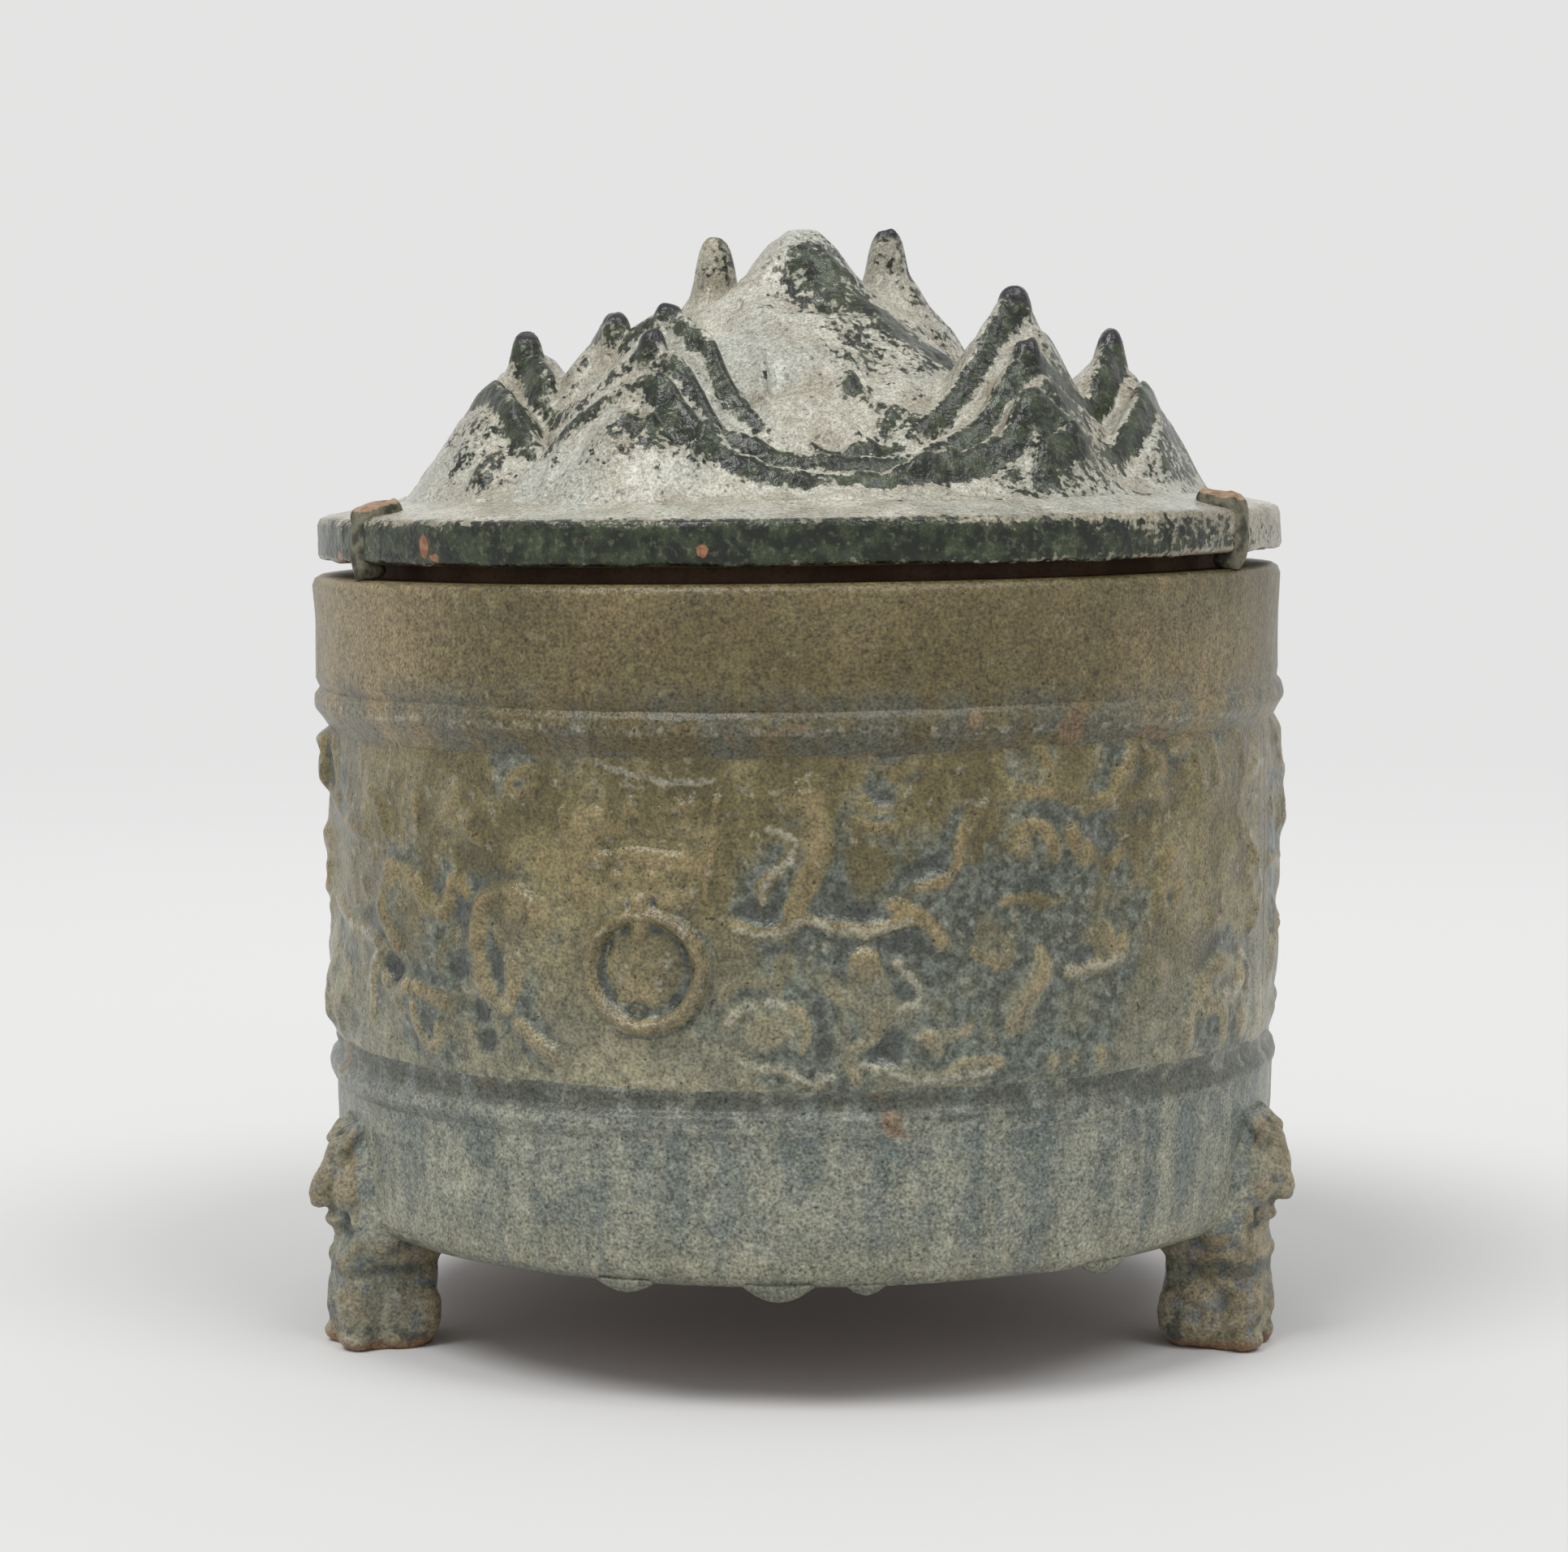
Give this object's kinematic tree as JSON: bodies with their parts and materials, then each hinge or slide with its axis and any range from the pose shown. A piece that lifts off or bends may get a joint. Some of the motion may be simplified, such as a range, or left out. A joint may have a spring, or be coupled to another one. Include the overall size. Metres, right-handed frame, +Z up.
{
  "type": "hill jar",
  "caption": "Round lidded jar of glazed earthenware on bear-shaped feet, with a moulded relief frieze and a lift-off lid shaped as a range of mountains.",
  "frame": {"origin": "on the floor under the jar's vertical axis, in the plane of the soles of the feet", "axes": "+Z up along the jar's axis; -Y towards the pictured front, midway between the front feet; +X to the right as seen from the front"},
  "size_m": [0.2012, 0.206, 0.2256],
  "materials": {
    "jar_glaze": "weathered olive and grey-green lead glaze, satin",
    "relief_glaze": "weathered lead glaze, brown on the raised parts and slate blue-green in the hollows",
    "foot_glaze": "weathered lead glaze, buff brown with blue-green pools",
    "lid_glaze": "chalky silvery lead glaze with dark green ridges and glossy black tips",
    "bare_clay": "unglazed reddish earthenware",
    "wad_clay": "broken orange clay with runs of glaze"
  },
  "bodies": {
    "jar": {"jar_wall": "jar_glaze", "base_disc": "bare_clay", "lower_cordon": "jar_glaze", "upper_cordon": "jar_glaze", "frieze_front": "relief_glaze", "frieze_back": "relief_glaze", "mask_ring_front": "relief_glaze", "mask_ring_back": "relief_glaze", "bear_foot_left": "foot_glaze", "bear_foot_right": "foot_glaze", "bear_foot_back": "foot_glaze", "glaze_drops": "jar_glaze"},
    "lid": {"lid_brim": "lid_glaze", "lid_flange": "bare_clay", "lid_hill": "lid_glaze", "kiln_wad_left": "wad_clay", "kiln_wad_right": "wad_clay", "kiln_wad_back": "wad_clay"}
  },
  "joints": [
    {"name": "lid_lift", "type": "slide", "parent": "jar", "child": "lid", "axis": [0, 0, 1], "range_m": [0, 0.12]}
  ]
}
